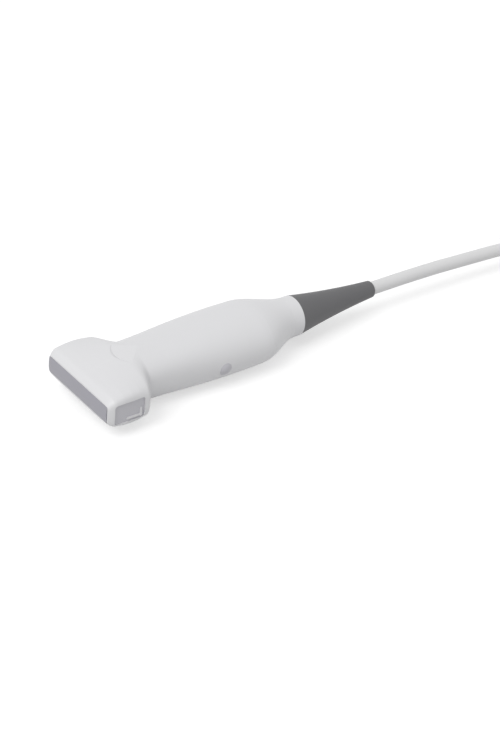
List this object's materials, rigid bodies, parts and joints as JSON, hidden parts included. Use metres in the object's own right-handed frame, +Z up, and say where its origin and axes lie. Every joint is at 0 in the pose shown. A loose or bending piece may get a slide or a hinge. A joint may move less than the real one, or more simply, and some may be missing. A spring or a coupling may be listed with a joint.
{
  "type": "ultrasound transducer probe",
  "caption": "Linear-array ultrasound probe with a flared flat head, waisted grip, tapered strain relief, folded cable and system connector.",
  "frame": {"origin": "on the surface that the probe lies on, under the middle of the probe from lens to strain relief tip", "axes": "+X along the probe from the lens to the cable, +Y across the head, +Z up"},
  "size_m": [0.5406, 0.0582, 0.0254],
  "materials": {
    "housing_plastic": "satin light grey moulded plastic, fine even grain",
    "lens_silicone": "matt grey-violet silicone",
    "matching_resin": "filled epoxy",
    "ceramic": "sawn piezo ceramic",
    "backing_compound": "dense filled rubber",
    "black_plastic": "matt",
    "flex_film": "amber film",
    "chassis_metal": "machined",
    "board_laminate": "solder-masked laminate",
    "screw_steel": "plain",
    "coax_wire": "bundle of fine jacketed wires",
    "cable_jacket": "satin light grey jacket",
    "ferrule_brass": "plain",
    "boot_rubber": "matt dark grey",
    "marker_plastic": "satin",
    "tie_webbing": "brushed loop webbing",
    "shroud_metal": "drawn, plain",
    "contact_gold": "plated"
  },
  "bodies": {
    "root": {"upper_housing": "housing_plastic", "lower_housing": "housing_plastic", "acoustic_lens": "lens_silicone", "outer_matching_layer": "matching_resin", "inner_matching_layer": "matching_resin", "piezo_array": "ceramic", "backing_block": "backing_compound", "array_carrier": "black_plastic", "flex_circuit_upper": "flex_film", "flex_circuit_lower": "flex_film", "board_chassis": "chassis_metal", "interface_board_upper": "board_laminate", "interface_board_lower": "board_laminate", "flex_socket_upper": "black_plastic", "flex_socket_lower": "black_plastic", "wire_socket_upper": "black_plastic", "wire_socket_lower": "black_plastic", "coax_fan_upper": "coax_wire", "coax_fan_lower": "coax_wire", "cable_root": "cable_jacket", "crimp_ferrule": "ferrule_brass", "cable_clamp": "chassis_metal", "clamp_screws": "screw_steel", "strain_relief_boot": "boot_rubber", "orientation_marker": "marker_plastic", "cable_lead": "cable_jacket", "cable_hank": "cable_jacket", "hank_tie_near": "tie_webbing", "hank_tie_far": "tie_webbing", "cable_tail": "cable_jacket", "connector_boot": "boot_rubber", "connector_cable_end": "cable_jacket", "connector_wires": "coax_wire", "connector_upper_shell": "housing_plastic", "connector_lower_shell": "housing_plastic", "connector_screws": "screw_steel", "connector_shroud": "shroud_metal", "contact_block": "black_plastic", "contact_pins": "contact_gold", "connector_board": "board_laminate"}
  },
  "joints": []
}
